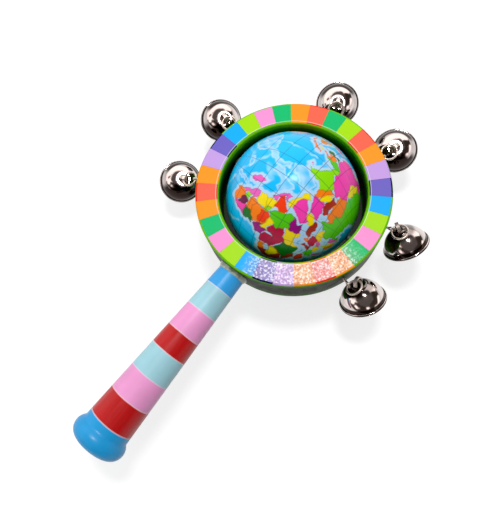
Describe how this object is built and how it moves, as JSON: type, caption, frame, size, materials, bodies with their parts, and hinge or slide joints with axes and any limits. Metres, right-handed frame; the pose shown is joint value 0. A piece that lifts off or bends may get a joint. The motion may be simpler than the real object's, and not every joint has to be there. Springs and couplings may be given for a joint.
{
  "type": "handled bell rattle",
  "caption": "Wooden hand rattle: a painted ring on a turned striped handle, a globe ball spinning on a pin in the ring, and small metal bells on jump rings round the rim.",
  "frame": {"origin": "centre of the handle's flat butt end", "axes": "+X along the handle's axis to the ring, Y along the globe's axle with the north pole at -Y, +Z out of the ring's front face"},
  "size_m": [0.234, 0.1473, 0.0706],
  "materials": {
    "ring_paint": "clear lacquer over green paint",
    "front_print": "glossy film printed with coloured segments",
    "back_print": "glossy film printed with coloured segments",
    "handle_stripes": "glossy lacquer over coloured stripes",
    "glue": "clear set glue",
    "globe_map_north": "glossy printed map",
    "globe_map_south": "glossy printed map",
    "nylon": "plain moulded",
    "axle_steel": "drawn wire",
    "bright_nickel": "bright nickel plate",
    "bell_nickel": "polished nickel plate",
    "clapper_steel": "plain steel"
  },
  "bodies": {
    "ring_and_handle": {"ring_body": "ring_paint", "front_print": "front_print", "back_print": "back_print", "handle": "handle_stripes", "glue_collar": "glue", "globe_axle": "axle_steel", "north_spacer": "nylon", "south_spacer": "nylon", "north_axle_plug": "ring_paint", "south_axle_plug": "ring_paint", "screw_eye_1": "bright_nickel", "screw_eye_2": "bright_nickel", "screw_eye_3": "bright_nickel", "screw_eye_4": "bright_nickel", "screw_eye_5": "bright_nickel", "screw_eye_6": "bright_nickel"},
    "globe": {"globe_north_half": "globe_map_north", "globe_south_half": "globe_map_south", "north_bush": "nylon", "south_bush": "nylon"},
    "link_1": {"jump_ring_1": "bright_nickel"},
    "bell_1": {"bell_shell_1": "bell_nickel", "bell_bail_1": "bright_nickel"},
    "clapper_1": {"clapper_wire_1": "clapper_steel", "clapper_ball_1": "clapper_steel"},
    "link_2": {"jump_ring_2": "bright_nickel"},
    "bell_2": {"bell_shell_2": "bell_nickel", "bell_bail_2": "bright_nickel"},
    "clapper_2": {"clapper_wire_2": "clapper_steel", "clapper_ball_2": "clapper_steel"},
    "link_3": {"jump_ring_3": "bright_nickel"},
    "bell_3": {"bell_shell_3": "bell_nickel", "bell_bail_3": "bright_nickel"},
    "clapper_3": {"clapper_wire_3": "clapper_steel", "clapper_ball_3": "clapper_steel"},
    "link_4": {"jump_ring_4": "bright_nickel"},
    "bell_4": {"bell_shell_4": "bell_nickel", "bell_bail_4": "bright_nickel"},
    "clapper_4": {"clapper_wire_4": "clapper_steel", "clapper_ball_4": "clapper_steel"},
    "link_5": {"jump_ring_5": "bright_nickel"},
    "bell_5": {"bell_shell_5": "bell_nickel", "bell_bail_5": "bright_nickel"},
    "clapper_5": {"clapper_wire_5": "clapper_steel", "clapper_ball_5": "clapper_steel"},
    "link_6": {"jump_ring_6": "bright_nickel"},
    "bell_6": {"bell_shell_6": "bell_nickel", "bell_bail_6": "bright_nickel"},
    "clapper_6": {"clapper_wire_6": "clapper_steel", "clapper_ball_6": "clapper_steel"}
  },
  "joints": [
    {"name": "globe_spin", "type": "hinge", "parent": "ring_and_handle", "child": "globe", "pos_m": [0.158, 0, 0], "axis": [0, 1, 0], "continuous": true},
    {"name": "link_swing_1", "type": "hinge", "parent": "ring_and_handle", "child": "link_1", "pos_m": [0.13602, 0.04938, 0], "axis": [-0.9272, -0.3746, 0], "range_deg": [-30, 10]},
    {"name": "bell_swing_1", "type": "hinge", "parent": "link_1", "child": "bell_1", "pos_m": [0.13318, 0.05639, -0.0026], "axis": [-0.9272, -0.3746, 0], "range_deg": [-118, 9]},
    {"name": "clapper_swing_1", "type": "hinge", "parent": "bell_1", "child": "clapper_1", "pos_m": [0.13315, 0.05874, -0.00752], "axis": [0.3422, -0.847, -0.4067], "range_deg": [-60, 60]},
    {"name": "link_swing_2", "type": "hinge", "parent": "ring_and_handle", "child": "link_2", "pos_m": [0.17244, 0.05208, 0], "axis": [-0.9588, 0.284, 0], "range_deg": [-30, 20]},
    {"name": "bell_swing_2", "type": "hinge", "parent": "link_2", "child": "bell_2", "pos_m": [0.1747, 0.05971, 0.00084], "axis": [-0.9588, 0.284, 0], "range_deg": [-118, 9]},
    {"name": "clapper_swing_2", "type": "hinge", "parent": "bell_2", "child": "clapper_2", "pos_m": [0.17541, 0.06243, -0.00383], "axis": [-0.2434, -0.8219, -0.515], "range_deg": [-60, 60]},
    {"name": "link_swing_3", "type": "hinge", "parent": "ring_and_handle", "child": "link_3", "pos_m": [0.21093, 0.01096, 0], "axis": [-0.3923, 0.9198, 0], "range_deg": [-30, 12]},
    {"name": "bell_swing_3", "type": "hinge", "parent": "link_3", "child": "bell_3", "pos_m": [0.2172, 0.01364, 0.00418], "axis": [-0.3923, 0.9198, 0], "range_deg": [-116, 9]},
    {"name": "clapper_swing_3", "type": "hinge", "parent": "bell_3", "child": "clapper_3", "pos_m": [0.21951, 0.01488, -0.0006], "axis": [-0.8076, -0.3445, -0.4787], "range_deg": [-60, 60]},
    {"name": "link_swing_4", "type": "hinge", "parent": "ring_and_handle", "child": "link_4", "pos_m": [0.20624, -0.02437, 0], "axis": [0.2487, 0.9686, 0], "range_deg": [-30, 4]},
    {"name": "bell_swing_4", "type": "hinge", "parent": "link_4", "child": "bell_4", "pos_m": [0.21369, -0.02628, 0.00221], "axis": [0.2487, 0.9686, 0], "range_deg": [-116, 6]},
    {"name": "clapper_swing_4", "type": "hinge", "parent": "bell_4", "child": "clapper_4", "pos_m": [0.21574, -0.02607, -0.00284], "axis": [-0.9049, 0.2323, -0.3567], "range_deg": [-60, 60]},
    {"name": "link_swing_5", "type": "hinge", "parent": "ring_and_handle", "child": "link_5", "pos_m": [0.17551, -0.05114, 0], "axis": [0.9972, 0.075, 0], "range_deg": [-60, 2]},
    {"name": "bell_swing_5", "type": "hinge", "parent": "link_5", "child": "bell_5", "pos_m": [0.17829, -0.05192, 0.0004], "axis": [-0.7789, 0.5732, -0.2545], "range_deg": [-21, 4]},
    {"name": "clapper_swing_5", "type": "hinge", "parent": "bell_5", "child": "clapper_5", "pos_m": [0.17733, -0.05567, -0.00343], "axis": [-0.5801, -0.5043, 0.6397], "range_deg": [-60, 60]},
    {"name": "link_swing_6", "type": "hinge", "parent": "ring_and_handle", "child": "link_6", "pos_m": [0.13793, -0.05018, 0], "axis": [0.9979, 0.0645, 0], "range_deg": [-30, 2]},
    {"name": "bell_swing_6", "type": "hinge", "parent": "link_6", "child": "bell_6", "pos_m": [0.14201, -0.05244, 0.00208], "axis": [-0.2325, 0.745, -0.6252], "range_deg": [-17, 3]},
    {"name": "clapper_swing_6", "type": "hinge", "parent": "bell_6", "child": "clapper_6", "pos_m": [0.14052, -0.05551, -0.00218], "axis": [-0.9413, -0.0105, 0.3375], "range_deg": [-60, 60]}
  ]
}
